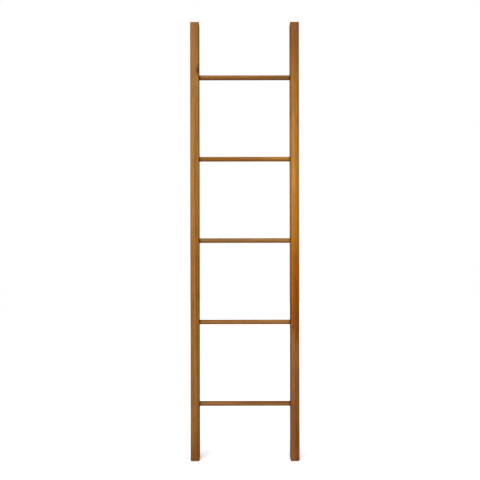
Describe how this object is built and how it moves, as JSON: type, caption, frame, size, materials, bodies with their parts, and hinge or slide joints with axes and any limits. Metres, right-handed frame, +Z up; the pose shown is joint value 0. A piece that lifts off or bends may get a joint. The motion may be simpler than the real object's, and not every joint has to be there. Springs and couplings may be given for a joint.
{
  "type": "ladder shelf",
  "caption": "Leaning wooden blanket ladder with square rails, round rungs let into them, and thin anti-slip pads under its feet.",
  "frame": {"origin": "on the floor, midway between the rails and midway through their depth", "axes": "+Z up along the rails, +X to the right across the ladder seen from the front, +Y to the back, towards the wall that it leans on"},
  "size_m": [0.454, 0.037, 1.829],
  "materials": {
    "rail_wood": "satin",
    "rung_wood": "satin",
    "plug_wood": "satin",
    "screw_steel": "satin",
    "foot_rubber": "matte"
  },
  "bodies": {
    "root": {"left_foot_pad": "foot_rubber", "left_plugs": "plug_wood", "left_rail": "rail_wood", "left_screws": "screw_steel", "right_foot_pad": "foot_rubber", "right_plugs": "plug_wood", "right_rail": "rail_wood", "right_screws": "screw_steel", "rung_1": "rung_wood", "rung_2": "rung_wood", "rung_3": "rung_wood", "rung_4": "rung_wood", "rung_5": "rung_wood"}
  },
  "joints": []
}
